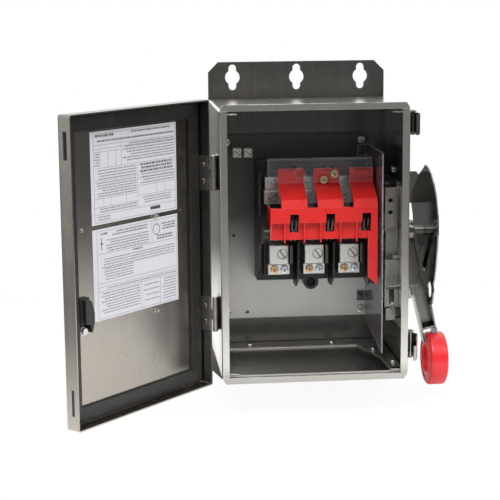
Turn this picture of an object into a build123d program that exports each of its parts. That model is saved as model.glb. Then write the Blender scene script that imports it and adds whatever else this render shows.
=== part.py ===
from build123d import *
import os
from math import cos, sin, radians

# Three-pole wall-mounted disconnect switch in a stainless steel box.
# Millimetres. +X right, +Y into the wall, +Z up. The origin is the middle of the box's back face.

# ---- box ----
BOX_W = 210.0          # outside width
BOX_D = 160.0          # wall face to front rim
BOX_H = 300.0          # outside height
SHEET = 1.5            # box and door sheet
FLANGE_H = 43.0        # mounting flange above and below the box
FLANGE_CHAMFER = 12.0
RIM_W = 8.5            # side rims, turned inward
LIP_H = 5.5            # top and bottom lips, turned outward
KEY_PITCH = 76.2       # mounting hole pitch
KEY_Z = 174.8          # height of the hole pattern
KEY_R = 8.6            # round middle of a mounting hole
KEY_SLOT_W = 9.0
KEY_SLOT_L = 30.0

# ---- door, drawn closed and then swung open ----
DOOR_X = 110.0         # half width
DOOR_Z = 160.0         # half height
DOOR_Y = -165.0        # outer face
DOOR_FLANGE = 17.0
GASKET_W = 16.5
GASKET_T = 3.2
HINGE_X, HINGE_Y = -110.5, -143.5
HINGE_R = 3.2          # knuckle
HINGE_PIN_R = 1.9
HINGE_GAP = 0.3        # between knuckles
HINGE_Z = (79.5, -78.5)
HINGE_LEN = 38.0
DOOR_OPEN = -132.0     # degrees at rest

# ---- side latches ----
LATCH_X, LATCH_Y = 112.5, -137.0
LATCH_PIN_R = 1.5
LATCHES = {"upper": (118.0, 144.0), "lower": (-137.0, -106.0)}
HOOKS = {"upper": (118.5, 141.0), "lower": (-136.5, -119.5)}
SLOTS = {"upper": (115.5, 143.5), "lower": (-144.0, -116.5)}
SLOT_Y = (-158.0, -153.0)

# ---- switch ----
POLE_PITCH = 41.6
BLADE_X = -15.3        # first pole's blade
LINE_LUG_X = -34.8     # first pole's line lug
LOAD_LUG_X = -28.8     # first pole's load lug
AXIS_Y, AXIS_Z = -80.0, 0.0   # handle shaft and blade bar
BAR_R = 8.0
BLADE_R = 24.0
BLADE_ANGLE = 130.0    # from +Y towards +Z, switch off
PLATE_Y = -5.5         # front of the back plate
BASE_Y = -24.0         # front of the switch base
SHIELD_Y = -68.0       # back of the clear line shield
POST_Y = -66.0         # front of the posts behind it

# ---- handle ----
SHAFT_R = 6.0
DISC_X = 138.0
DISC_T = 1.6           # handle plate
ARM_LEAN = 13.5        # degrees outward from the wall
ARM_W = 18.0           # across the channel, along X
ARM_DEEP = 20.0        # channel depth, along Y
ARM_T = 1.8
ARM_END = 121.0        # shaft to the end of the channel, along the arm
ARM_TAIL = 136.0       # shaft to the end of its longer left wall
RING_R = 31.2
RING_BORE = 16.5
RING_T = 22.0
RING_X, RING_Z = 153.3, -154.0   # ring centre


def box(x0, x1, y0, y1, z0, z1):
    return Pos((x0 + x1) / 2, (y0 + y1) / 2, (z0 + z1) / 2) * Box(x1 - x0, y1 - y0, z1 - z0)


def rod_x(x0, x1, y, z, r):
    return Pos((x0 + x1) / 2, y, z) * Rot(0, 90, 0) * Cylinder(r, x1 - x0)


def rod_y(y0, y1, x, z, r):
    return Pos(x, (y0 + y1) / 2, z) * Rot(90, 0, 0) * Cylinder(r, y1 - y0)


def rod_z(z0, z1, x, y, r):
    return Pos(x, y, (z0 + z1) / 2) * Cylinder(r, z1 - z0)


def prism_x(points, x0, x1):
    # points are (y, z)
    plane = Plane(origin=(x0, 0, 0), x_dir=(0, 1, 0), z_dir=(1, 0, 0))
    return extrude(plane * make_face(Polyline(*points, close=True)), amount=x1 - x0)


def prism_y(points, y0, y1):
    # points are (x, z)
    plane = Plane(origin=(0, y1, 0), x_dir=(1, 0, 0), z_dir=(0, -1, 0))
    return extrude(plane * make_face(Polyline(*points, close=True)), amount=y1 - y0)


def prism_z(points, z0, z1):
    # points are (x, y)
    plane = Plane(origin=(0, 0, z0), x_dir=(1, 0, 0), z_dir=(0, 0, 1))
    return extrude(plane * make_face(Polyline(*points, close=True)), amount=z1 - z0)


def join(items):
    whole = items[0]
    for item in items[1:]:
        whole = whole + item
    return whole


def polar(angle, radius):
    # (y, z) about the handle axis, angle from +Y towards +Z
    return AXIS_Y + radius * cos(radians(angle)), AXIS_Z + radius * sin(radians(angle))


def polar_prism(points, x0, x1):
    # points are (angle, radius) about the handle axis
    return prism_x([polar(a, r) for a, r in points], x0, x1)


def poles(first_x):
    return [first_x + POLE_PITCH * i for i in range(3)]


def swing(shape):
    # closed door position to the open rest position
    return Pos(HINGE_X, HINGE_Y, 0) * Rot(0, 0, DOOR_OPEN) * Pos(-HINGE_X, -HINGE_Y, 0) * shape


def pan_head_y(x, y, z, r, h, recess="cross"):
    # screw head seated at y, rising towards -Y
    head = rod_y(y - h, y, x, z, r)
    head = fillet(head.edges().filter_by(GeomType.CIRCLE).sort_by(Axis.Y)[0], h * 0.45)
    arm = r * 0.62
    cuts = [box(x - arm, x + arm, y - h - 0.1, y - h * 0.45, z - r * 0.13, z + r * 0.13)]
    if recess == "cross":
        cuts.append(box(x - r * 0.13, x + r * 0.13, y - h - 0.1, y - h * 0.45, z - arm, z + arm))
    return head - cuts


def screw_y(x, y, z, r, h, shank_r, depth, recess="cross"):
    return pan_head_y(x, y, z, r, h, recess) + rod_y(y, y + depth, x, z, shank_r)


# ---------------------------------------------------------------- box

def keyhole_cuts(z):
    cuts = []
    for i in (-1, 0, 1):
        x = i * KEY_PITCH
        half = KEY_SLOT_L / 2 - KEY_SLOT_W / 2
        slot = box(x - KEY_SLOT_W / 2, x + KEY_SLOT_W / 2, -3, 2, z - half, z + half)
        ends = [rod_y(-3, 2, x, z + s * half, KEY_SLOT_W / 2) for s in (-1, 1)]
        cuts.append(join([rod_y(-3, 2, x, z, KEY_R), slot] + ends))
    return cuts


def back_panel():
    w, top, c = BOX_W / 2, BOX_H / 2 + FLANGE_H, FLANGE_CHAMFER
    pts = [(-w, -top + c), (-w + c, -top), (w - c, -top), (w, -top + c),
           (w, top - c), (w - c, top), (-w + c, top), (-w, top - c)]
    return prism_y(pts, -SHEET, 0) - keyhole_cuts(KEY_Z) - keyhole_cuts(-KEY_Z)


def rim_lip(side):
    # top (side=1) or bottom (side=-1) lip, turned outward, with cut ends
    w, z0, z1 = BOX_W / 2, side * (BOX_H / 2 - SHEET), side * (BOX_H / 2 + LIP_H)
    pts = [(-w + 1, z0), (w - 1, z0), (w - 1, side * BOX_H / 2), (w - 4.5, z1),
           (-w + 4.5, z1), (-w + 1, side * BOX_H / 2)]
    return prism_y(pts, -BOX_D, -BOX_D + SHEET)


def box_wrap():
    w, h = BOX_W / 2, BOX_H / 2
    outer = box(-w, w, -BOX_D, -SHEET, -h, h)
    outer = fillet(outer.edges().filter_by(Axis.Y), 3.0)
    outer = fillet([e for e in outer.edges().filter_by(Axis.Z) if e.center().Y < -BOX_D + 1], 2.2)
    inner = box(-w + SHEET, w - SHEET, -BOX_D + SHEET, 0, -h + SHEET, h - SHEET)
    inner = fillet(inner.edges().filter_by(Axis.Y), 1.5)
    mouth = box(-w + RIM_W, w - RIM_W, -BOX_D - 1, -BOX_D + 2 * SHEET, -h + SHEET, h - SHEET)
    wrap = outer - inner - mouth
    # top and bottom of the mouth run out to the sheet
    wrap = wrap + rim_lip(1) + rim_lip(-1)
    wrap = wrap - rod_x(w - 4, w + 4, AXIS_Y, AXIS_Z, 10.0)
    wrap = wrap - rod_x(w - 4, w + 4, DEFEAT_Y, DEFEAT_Z, 2.6)
    return wrap


def corner_gussets():
    # small plates welded in the corners of the mouth
    w, h = BOX_W / 2 - SHEET, BOX_H / 2 - SHEET
    plates = []
    for sx in (-1, 1):
        for sz in (-1, 1):
            x = sx * w
            pts = [(x, -BOX_D + SHEET), (sx * (w - 18), -BOX_D + SHEET),
                   (sx * (w - 16), -BOX_D + 9), (x, -BOX_D + 12)]
            z = sz * (h - 3.6)
            plates.append(prism_z(pts, z - 0.6, z + 0.6))
    return join(plates)


def floor_plate():
    # raised border round a sunk floor
    z, w = -BOX_H / 2 + SHEET, BOX_W / 2 - SHEET - 1.7
    plate = box(-w, w, -BOX_D + SHEET + 2.0, -SHEET - 2.0, z, z + 1.6)
    sunk = prism_z([(-97, -34), (68, -34), (86, -90), (88, -153), (-97, -153)], z - 1, z + 3)
    plate = plate - sunk
    plate = fillet(plate.edges().filter_by(Axis.Z), 1.2)
    return plate - [rod_z(z - 1, z + 3, x, y, 2.05) for x, y in FLOOR_SCREWS]


FLOOR_SCREWS = [(-60, -18), (40, -18), (84, -58), (96, -118)]


def floor_screws():
    z = -BOX_H / 2 + SHEET
    out = []
    for x, y in FLOOR_SCREWS:
        head = rod_z(z + 1.6, z + 3.6, x, y, 3.8)
        head = fillet(head.edges().filter_by(GeomType.CIRCLE).sort_by(Axis.Z)[-1], 0.9)
        out.append(head + rod_z(z, z + 1.6, x, y, 2.0))
    return join(out)


# ---------------------------------------------------------------- door

def door_pan():
    x, z, y = DOOR_X, DOOR_Z, DOOR_Y
    outer = box(-x, x, y, y + DOOR_FLANGE, -z, z)
    outer = fillet(outer.edges().filter_by(Axis.Y), 2.4)
    outer = fillet(outer.faces().sort_by(Axis.Y)[0].edges(), 2.0)
    inner = box(-x + SHEET, x - SHEET, y + SHEET, y + DOOR_FLANGE + 1, -z + SHEET, z - SHEET)
    inner = fillet(inner.edges().filter_by(Axis.Y), 0.9)
    pan = outer - inner
    for z0, z1 in SLOTS.values():
        pan = pan - box(x - 4, x + 4, SLOT_Y[0], SLOT_Y[1], z0, z1)
    for zc in HINGE_Z:
        for s in (-1, 1):
            pan = pan - rod_x(-x - 2, -x + 3, HINGE_RIVET_Y, zc + s * HINGE_RIVET_Z, 1.6)
    for x_, z_ in STUDS:
        pan = pan - rod_y(y - 1, y + 3, x_, z_, 1.55)
    pan = pan - rod_y(y - 1, y + 3, CATCH_BOLT[0], CATCH_BOLT[1], 2.05)
    return swing(pan)


HINGE_RIVET_Y = -155.5
HINGE_RIVET_Z = 9.0
STUDS = [(81.3, 41.2), (-33.0, 41.2), (-30.5, -61.5)]
CATCH_BOLT = (85.2, -61.5)


def door_gasket():
    x, z, y = DOOR_X - 3.2, DOOR_Z - 3.2, DOOR_Y + SHEET
    ring = box(-x, x, y, y + GASKET_T, -z, z)
    ring = ring - box(-x + GASKET_W, x - GASKET_W, y - 1, y + GASKET_T + 1, -z + GASKET_W, z - GASKET_W)
    top = ring.faces().sort_by(Axis.Y)[-1]
    return swing(fillet(top.edges(), 1.0))


def door_label(z0, z1):
    y = DOOR_Y + SHEET
    return swing(box(-70.5, 65.5, y, y + 0.25, z0, z1))


def door_studs():
    y = DOOR_Y + SHEET
    out = []
    for i, (x, z) in enumerate(STUDS):
        tall = 5.0 if i else 1.4
        out.append(rod_y(y, y + 1.4, x, z, 2.2) + rod_y(y - SHEET, y + tall, x, z, 1.5))
    return swing(join(out))


def interlock_catch():
    y = DOOR_Y + SHEET
    foot = box(77, 90, y, y + 4.0, -54, -27.5)
    horn_pts = [(77.5, -31), (73.5, -43.8), (74, -54), (77.3, -63), (79.0, -63), (79.8, -55.5),
                (87, -53), (87, -29), (82, -28.5)]
    horn = prism_y(horn_pts, y, y + 8.5)
    horn = fillet(horn.faces().sort_by(Axis.Y)[-1].edges(), 0.8)
    throat = box(60, 75.8, y + 3.0, y + 5.8, -51, -43)
    tongue = box(82, 88.4, y, y + 1.5, -65.5, -53)
    return swing(foot + horn + tongue - throat - rod_y(y - 1, y + 8, CATCH_BOLT[0], CATCH_BOLT[1], 2.05))


def catch_bolt():
    y = DOOR_Y + SHEET + 1.5
    x, z = CATCH_BOLT
    flange = rod_y(y, y + 1.2, x, z, 5.1)
    hexa = Pos(x, y + 1.2, z) * Rot(-90, 0, 0) * extrude(RegularPolygon(3.9, 6), amount=2.8)
    return swing(flange + hexa + rod_y(y - 3.0, y, x, z, 2.0))


def knuckle(z0, z1):
    return rod_z(z0, z1, HINGE_X, HINGE_Y, HINGE_R) - rod_z(z0 - 1, z1 + 1, HINGE_X, HINGE_Y, HINGE_PIN_R + 0.05)


def hinge_bands(zc):
    # three knuckles: outer two on the box leaf, middle one on the door leaf
    half, third = HINGE_LEN / 2, HINGE_LEN / 6
    return ((zc - half, zc - third), (zc - third + HINGE_GAP, zc + third - HINGE_GAP), (zc + third, zc + half))


def door_leaf(zc):
    low, mid, high = hinge_bands(zc)
    x0, x1 = -DOOR_X + SHEET, -DOOR_X + SHEET + 1.2
    z0, z1 = low[0], high[1]
    plate = box(x0, x1, -161.0, -149.0, z0, z1)
    tongue = box(x0, x1, -149.0, HINGE_Y, mid[0], mid[1])
    leaf = plate + tongue + knuckle(*mid)
    leaf = leaf - rod_z(mid[0] - 1, mid[1] + 1, HINGE_X, HINGE_Y, HINGE_PIN_R + 0.05)
    for s in (-1, 1):
        leaf = leaf - rod_x(x0 - 1, x1 + 1, HINGE_RIVET_Y, zc + s * HINGE_RIVET_Z, 1.6)
    return swing(leaf)


def door_leaf_rivets():
    x0, x1 = -DOOR_X, -DOOR_X + SHEET + 1.2
    out = []
    for zc in HINGE_Z:
        for s in (-1, 1):
            z = zc + s * HINGE_RIVET_Z
            head = rod_x(x1, x1 + 1.3, HINGE_RIVET_Y, z, 2.9)
            head = fillet(head.edges().filter_by(GeomType.CIRCLE).sort_by(Axis.X)[-1], 0.9)
            out.append(head + rod_x(x0, x1, HINGE_RIVET_Y, z, 1.6))
    return swing(join(out))


def box_leaf(zc):
    low, mid, high = hinge_bands(zc)
    w = BOX_W / 2
    pts = [(-108.5, HINGE_Y), (-107.3, HINGE_Y), (-107.3, -138.8), (-w, -136.5), (-w, -118),
           (-w - 1.2, -118), (-w - 1.2, -136.0), (-108.5, -138.3)]
    sheet = prism_z(pts, low[0], high[1])
    relief = box(-115, -106.9, -149, -139.3, mid[0] - HINGE_GAP, mid[1] + HINGE_GAP)
    leaf = sheet - relief + knuckle(*low) + knuckle(*high)
    return leaf - rod_z(low[0] - 1, high[1] + 1, HINGE_X, HINGE_Y, HINGE_PIN_R + 0.05)


def hinge_pin(zc):
    half = HINGE_LEN / 2
    pin = rod_z(zc - half - 1.0, zc + half, HINGE_X, HINGE_Y, HINGE_PIN_R)
    head = rod_z(zc + half, zc + half + 1.2, HINGE_X, HINGE_Y, 2.7)
    return pin + fillet(head.edges().filter_by(GeomType.CIRCLE).sort_by(Axis.Z)[-1], 0.6)


# ---------------------------------------------------------------- latches

def latch_bracket(name):
    z0, z1 = LATCHES[name]
    w = BOX_W / 2
    base = box(w, w + 1.5, -142.5, -124, z0, z1)
    ears = []
    for a, b in ((z0, z0 + 1.4), (z1 - 1.4, z1)):
        ear = prism_z([(w, -140.6), (LATCH_X + 1, -140.6), (LATCH_X + 3.4, -138.6),
                       (LATCH_X + 3.4, -135.4), (LATCH_X + 1, -133.4), (w, -131)], a, b)
        ears.append(ear)
    bracket = join([base] + ears)
    return bracket - rod_z(z0 - 1, z1 + 1, LATCH_X, LATCH_Y, LATCH_PIN_R)


def latch_lever(name):
    z0, z1 = LATCHES[name][0] + 1.7, LATCHES[name][1] - 1.7
    h0, h1 = HOOKS[name]
    barrel = rod_z(z0, z1, LATCH_X, LATCH_Y, 3.0)
    # curved cheek from the barrel out and forward, then the hook
    cheek = [(114.3, -139.4), (116.9, -143.0), (117.9, -147.0), (117.4, -151.0), (115.9, -154.2)]
    inner = [(114.9, -153.1), (116.0, -150.4), (116.4, -147.0), (115.5, -143.7), (112.6, -139.9)]
    shell = prism_z(cheek + inner, z0, z1)
    hook = prism_z([(115.9, -154.2), (112.4, -156.4), (111.9, -155.2), (114.9, -153.1)], h0, min(h1, z1))
    thumb = prism_z([(110.2, -134.9), (111.4, -134.0), (117.2, -126.0), (116.0, -125.2),
                     (110.9, -131.6)], z0 + 2, z1 - 2)
    lever = barrel + shell + hook + thumb
    return lever - rod_z(z0 - 1, z1 + 1, LATCH_X, LATCH_Y, LATCH_PIN_R + 0.06)


def latch_pins():
    out = []
    for z0, z1 in LATCHES.values():
        heads = [rod_z(z0 - 0.8, z0, LATCH_X, LATCH_Y, 2.3), rod_z(z1, z1 + 0.8, LATCH_X, LATCH_Y, 2.3)]
        out.append(join([rod_z(z0, z1, LATCH_X, LATCH_Y, LATCH_PIN_R)] + heads))
    return join(out)


# ---------------------------------------------------------------- back plate and ground lugs

PLATE_X = (-90.0, 86.0)
PLATE_Z = (-116.0, 107.5)
PLATE_SCREWS = [(-84.5, 98.5), (77.5, 98.5), (-84.5, -108.0), (77.5, -108.0)]
GROUND_X = (-73.2, -60.2)
GROUND_Z = 87.0


def mounting_plate():
    plate = box(PLATE_X[0], PLATE_X[1], PLATE_Y, PLATE_Y + 1.5, PLATE_Z[0], PLATE_Z[1])
    plate = fillet(plate.edges().filter_by(Axis.Y), 4.0)
    feet = [rod_y(PLATE_Y + 1.5, -SHEET, x, z, 7.0) for x, z in PLATE_SCREWS]
    plate = join([plate] + feet)
    plate = plate - [rod_y(PLATE_Y - 1, 0, x, z, 2.53) for x, z in PLATE_SCREWS]
    plate = plate - [rod_y(PLATE_Y - 1, 0, x, z, 2.2) for x, z in ((-77.0, -13.6), (-61.4, -108.5))]
    return plate


def plate_screws():
    return join([screw_y(x, PLATE_Y, z, 4.6, 3.0, 2.5, 4.0) for x, z in PLATE_SCREWS])


def ground_lugs():
    out = []
    for x in GROUND_X:
        lug = box(x - 5.4, x + 5.4, PLATE_Y - 15, PLATE_Y, GROUND_Z - 5.4, GROUND_Z + 5.4)
        lug = chamfer(lug.faces().sort_by(Axis.Y)[0].edges(), 0.8)
        lug = lug - rod_z(GROUND_Z - 9, GROUND_Z + 9, x, PLATE_Y - 5.2, 3.2)
        lug = lug - rod_y(PLATE_Y - 16, PLATE_Y - 8, x, GROUND_Z, 4.2)
        out.append(lug)
    return join(out)


def ground_screws():
    out = []
    for x in GROUND_X:
        y = PLATE_Y - 14.0
        body = rod_y(y, PLATE_Y - 8.0, x, GROUND_Z, 3.6)
        slot = Pos(x, y, GROUND_Z) * Rot(0, 35, 0) * Box(8, 3.2, 1.1)
        out.append(body - slot)
    return join(out)


# ---------------------------------------------------------------- switch

BASE_X = (-52.0, 80.5)
BASE_Z = (-72.0, 78.0)
EAR = (14.0, -68.6)
SHIELD_POSTS = [(22.5, 60.0), (35.0, 67.0)]
BARRIERS = (-51.0, -6.6, 35.2, 79.5)


def switch_base():
    x0, x1 = BASE_X
    body = box(x0, x1, BASE_Y, PLATE_Y, BASE_Z[0] + 6, BASE_Z[1])
    body = fillet(body.edges().filter_by(Axis.Y), 3.0)
    ear = rod_y(BASE_Y, PLATE_Y, EAR[0], EAR[1] - 1, 9.0) + box(
        EAR[0] - 9, EAR[0] + 9, BASE_Y, PLATE_Y, EAR[1] - 1, EAR[1] + 8)
    parts = [body, ear]
    upper = [(BASE_Y + 1, 74), (-52, 74), (-60, 66), (-60, 16), (-52, 10), (BASE_Y + 1, 10)]
    lower = [(BASE_Y + 1, -70), (-44, -70), (-66, -56), (-66, -14), (-56, -9), (BASE_Y + 1, -9)]
    end = [(BASE_Y + 1, -62), (-40, -58), (-56, -44), (-60, -14), (-52, -9), (BASE_Y + 1, -9)]
    for x in BARRIERS:
        parts.append(prism_x(upper, x - 1.0, x + 1.0))
        parts.append(prism_x(end if x < 0 and x < BARRIERS[1] else lower, x - 1.0, x + 1.0))
    # bearing walls for the blade bar
    wall = [(BASE_Y + 1, -20), (-84, -11), (-91, -6), (-91, 6), (-84, 11), (BASE_Y + 1, 20)]
    for a in (x0, x1 - 3.0):
        parts.append(prism_x(wall, a, a + 3.0) - rod_x(a - 1, a + 4, AXIS_Y, AXIS_Z, BAR_R + 0.06))
    # terminal pads and their steps
    for x in poles(LINE_LUG_X):
        parts.append(box(x - 13, x + 15, BASE_Y - 6, BASE_Y, 24, 66))
    for x in poles(LOAD_LUG_X):
        parts.append(box(x - 15, x + 17, BASE_Y - 10, BASE_Y, -58, -12))
    for x, z in SHIELD_POSTS:
        parts.append(rod_y(POST_Y, BASE_Y + 1, x, z, 4.2))
    base = join(parts)
    for x, z in BASE_SCREWS:
        base = base - rod_y(-80, 0, x, z, 2.6) - rod_y(-80, BASE_Y + 5.0, x, z, 5.2)
    for x, z in SHIELD_POSTS:
        base = base - rod_y(POST_Y - 1, POST_Y + 10, x, z, 1.8)
    return base


BASE_SCREWS = [(EAR[0], EAR[1] - 1), (12.0, 3.0)]


def base_screws():
    return join([screw_y(x, BASE_Y + 5.0, z, 4.6, 3.0, 2.6, PLATE_Y - BASE_Y - 5.0) for x, z in BASE_SCREWS])


def line_lugs():
    out = []
    y0 = BASE_Y - 6
    for x in poles(LINE_LUG_X):
        low = box(x - 10.6, x + 10.5, y0 - 22, y0, 30, 46)
        high = box(x - 8.6, x + 6.4, y0 - 18, y0, 46, 61)
        lug = chamfer(low.faces().sort_by(Axis.Y)[0].edges(), 0.8) + high
        lug = lug - rod_z(20, 70, x - 1, y0 - 7.5, 4.2)
        lug = lug - rod_y(y0 - 23, y0 - 14, x, 38, 5.2)
        lug = lug - rod_y(y0 - 19, y0 - 12, x - 1, 54.5, 3.1)
        out.append(lug)
    return join(out)


def line_lug_screws():
    out = []
    y0 = BASE_Y - 6
    for x in poles(LINE_LUG_X):
        big = rod_y(y0 - 21.2, y0 - 14.0, x, 38, 4.6)
        out.append(big - Pos(x, y0 - 21.2, 38) * Rot(0, -30, 0) * Box(12, 3.4, 1.3))
        out.append(pan_head_y(x - 1, y0 - 18, 54.5, 4.6, 2.4) + rod_y(y0 - 18, y0 - 12.5, x - 1, 54.5, 3.0))
    return join(out)


def load_lugs():
    out = []
    y0 = BASE_Y - 10
    for x in poles(LOAD_LUG_X):
        lug = box(x - 12, x + 12, y0 - 27, y0, -40.6, -17)
        lug = chamfer(lug.faces().sort_by(Axis.Y)[0].edges(), 1.2)
        lug = lug - rod_z(-45, -12, x, y0 - 9, 6.0)
        lug = lug - rod_y(y0 - 28, y0 - 16, x + 4.0, -28.0, 6.0)
        out.append(lug)
    return join(out)


def load_lug_screws():
    out = []
    y0 = BASE_Y - 10
    for x in poles(LOAD_LUG_X):
        screw = rod_y(y0 - 26.4, y0 - 16.0, x + 4.0, -28.0, 5.4)
        out.append(screw - Pos(x + 4.0, y0 - 26.4, -28.0) * Rot(0, 55, 0) * Box(14, 3.8, 1.5))
    return join(out)


def load_tabs():
    out = []
    y0 = BASE_Y - 10
    for x in poles(LOAD_LUG_X):
        tab = box(x - 12.6, x + 13.8, y0 - 20, y0, -54, -40.9)
        tab = chamfer(tab.faces().sort_by(Axis.Y)[0].edges(), 0.8)
        tab = tab - rod_y(y0 - 21, y0 - 8, x - 4.8, -47.4, 2.0) - rod_y(y0 - 21, y0 - 8, x + 7.2, -47.4, 2.0)
        out.append(tab)
    return join(out)


def tab_screws(dx):
    y = BASE_Y - 30
    return join([screw_y(x + dx, y, -47.4, 4.4, 2.6, 2.0, 9.0) for x in poles(LOAD_LUG_X)])


def contacts(z0, z1, root):
    out = []
    for x in poles(BLADE_X):
        pts = [(root, z0), (-70, z0), (-73, z0 + 3), (-73, z1 - 3), (-68, z1), (root, z1)]
        out.append(prism_x(pts, x - 1.2, x + 1.2))
    return join(out)


def rotor_bar():
    bar = rod_x(BASE_X[0] - 0.0, 89.0, AXIS_Y, AXIS_Z, BAR_R)
    return chamfer(bar.edges().filter_by(GeomType.CIRCLE), 0.8)


def rotor_blades():
    # a pair of blades per pole, one each side of the fixed contact
    out = []
    for x in poles(BLADE_X):
        for a in (x - 3.1, x + 1.5):
            pts = [(BLADE_ANGLE - 12, BLADE_R - 0.8), (BLADE_ANGLE - 4, BLADE_R), (BLADE_ANGLE + 4, BLADE_R),
                   (BLADE_ANGLE + 8, BLADE_R - 1.2), (BLADE_ANGLE + 30, 13), (BLADE_ANGLE + 60, 10.5),
                   (BLADE_ANGLE + 110, 10.5), (BLADE_ANGLE + 180, 10.5), (BLADE_ANGLE - 120, 10.5),
                   (BLADE_ANGLE - 50, 10.5)]
            blade = polar_prism(pts, a, a + 1.6)
            out.append(blade - rod_x(a - 1, a + 3, AXIS_Y, AXIS_Z, BAR_R))
    return join(out)


def rotor_crank():
    x0, x1 = 85.2, 87.4
    arm = polar_prism([(150, 12), (168, 23), (180, 23), (198, 12), (270, 11.5), (330, 11.5),
                       (30, 11.5), (90, 11.5)], x0, x1)
    arm = arm - rod_x(x0 - 1, x1 + 1, AXIS_Y, AXIS_Z, BAR_R)
    y, z = polar(174, 18)
    return arm + rod_x(x1, x1 + 0.5, y, z, 2.2)


# ---------------------------------------------------------------- red cover and shields

COVER_X = (-43.0, 80.7)
FINGER_HALF = 14.8
COVER_SKIN = [(-68, 73), (-68, 56), (-97, 40.5), (-100, 31), (-100, 14.5), (-98, 14.5), (-98, 30.6),
              (-95.4, 39), (-66, 54.8), (-66, 73)]


def red_cover():
    parts = []
    for x in poles(BLADE_X):
        parts.append(prism_x(COVER_SKIN, x - FINGER_HALF, x + min(FINGER_HALF, COVER_X[1] - x)))
        cheek = [(-68, 73), (-68, 56), (-97, 40.5), (-100, 31), (-100, 14.5), (-92, 14.5), (-92, 34),
                 (-66, 48), (-65.2, 52), (-65.2, 73)]
        for a in (x - FINGER_HALF, x + min(FINGER_HALF, COVER_X[1] - x) - 1.6):
            parts.append(prism_x(cheek, a, a + 1.6))
    x0, x1 = COVER_X
    band = [(-98.6, 31.4), (-100, 31), (-100, 14.5), (-98, 14.5), (-98, 29), (-92, 31.4)]
    parts.append(prism_x(band, x0, x1))
    parts.append(prism_x([(-100, 16.5), (-100, 14.5), (-92, 14.5), (-92, 16.5)], x0, x1))
    for a in (x0, x1 - 1.8):
        parts.append(prism_x([(-100, 31), (-100, 14.5), (-90, 14.5), (-90, 31.4), (-98.6, 31.4)], a, a + 1.8))
    # wall set back under the band, with thin ribs in front of it, and the closed left end
    parts.append(box(x0, x1, -93.5, -92.0, -5.5, 16.5))
    end = prism_x([(-100, 31.4), (-64, 31.4), (-64, -5.5), (-93.5, -5.5), (-100, 14.5)], x0, x0 + 1.6)
    parts.append(end - rod_x(x0 - 1, x0 + 3, AXIS_Y, AXIS_Z, BAR_R + 1.5))
    for x in poles(BLADE_X):
        for c in (x - 12.0, min(x + 10.6, x1 - 1.6)):
            parts.append(prism_x([(-99.6, 16), (-99.2, -8.5), (-92, -8.5), (-92, 16)], c, c + 1.5))
    # wing down the right side
    wing = [(69.5, 15), (x1, 15), (x1, -60), (69.5, -50)]
    parts.append(prism_y(wing, -100, -98))
    parts.append(box(x1 - 1.8, x1, -100, -92.5, -58, 15))
    cover = join(parts)
    for x in poles(BLADE_X):
        cover = cover - box(x - 5.1, x + 5.1, -101, -91, 3.0, 24.6)
        half = FINGER_HALF
        cover = cover - box(x - half + 5, min(x + half, x1) - 5, -70, -60, 70.2, 71.4)
    return cover - [rod_y(-70, -60, x, z, 2.0) for x, z in SHIELD_POSTS]


def line_shield():
    x0, x1, z0, z1 = -42.5, 79.0, 57.5, 84.5
    y0, y1 = SHIELD_Y - 1.6, SHIELD_Y
    outline = prism_y([(x0, z0), (x1, z0), (x1, z1 - 1.5), (x1 - 1.5, z1), (x0 + 1.5, z1), (x0, z1 - 1.5)], y0, y1)
    tongues = [(-0.2, 11.4), (41.4, 53.0)]
    parts = [outline] + [prism_y([(a, 58), (a, 31), (a + 3, 28), (b - 3, 28), (b, 31), (b, 58)], y0, y1)
                         for a, b in tongues]
    parts.append(box(x0, x1, y0, y0 + 9, z1 - 1.6, z1))
    for x, z in ((-5.0, 68.0), (35.0, 67.0)):
        parts.append(rod_y(y0 - 1.2, y0, x, z, 6.0))
    shield = join(parts)
    return shield - [rod_y(y0 - 3, y1 + 1, x, z, 2.2) for x, z in SHIELD_POSTS]


def shield_screws():
    y = SHIELD_Y - 1.6
    (xa, za), (xb, zb) = SHIELD_POSTS
    return join([screw_y(xa, y, za, 4.6, 2.8, 1.75, 10.0), screw_y(xb, y - 1.2, zb, 4.6, 2.8, 1.75, 10.0)])


def side_shield():
    x0, x1 = 83.0, 84.2
    pts = [(-6.7, 95), (-106, 95), (-113, 93), (-114.5, -137), (-108, -137), (-8, -119), (-6.7, -117)]
    sheet = prism_x(pts, x0, x1) - rod_x(x0 - 1, x1 + 1, AXIS_Y, AXIS_Z, 10.0)
    feet = [box(73, x1, PLATE_Y - 1.2, PLATE_Y, z - 6.5, z + 6.5) for z in SHIELD_FEET]
    return join([sheet] + feet) - [rod_y(PLATE_Y - 3, PLATE_Y + 3, 77.5, z, 1.75) for z in SHIELD_FEET]


SHIELD_FEET = (86.5, -92.0)


def side_shield_screws():
    return join([screw_y(77.5, PLATE_Y - 1.2, z, 3.6, 2.2, 1.7, 1.2) for z in SHIELD_FEET])


# ---------------------------------------------------------------- mechanism on the right wall

DEFEAT_Y, DEFEAT_Z = -128.0, -57.0
MECH_Y = -105.0
HOOK_Y, HOOK_Z = -100.0, -84.0


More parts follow.
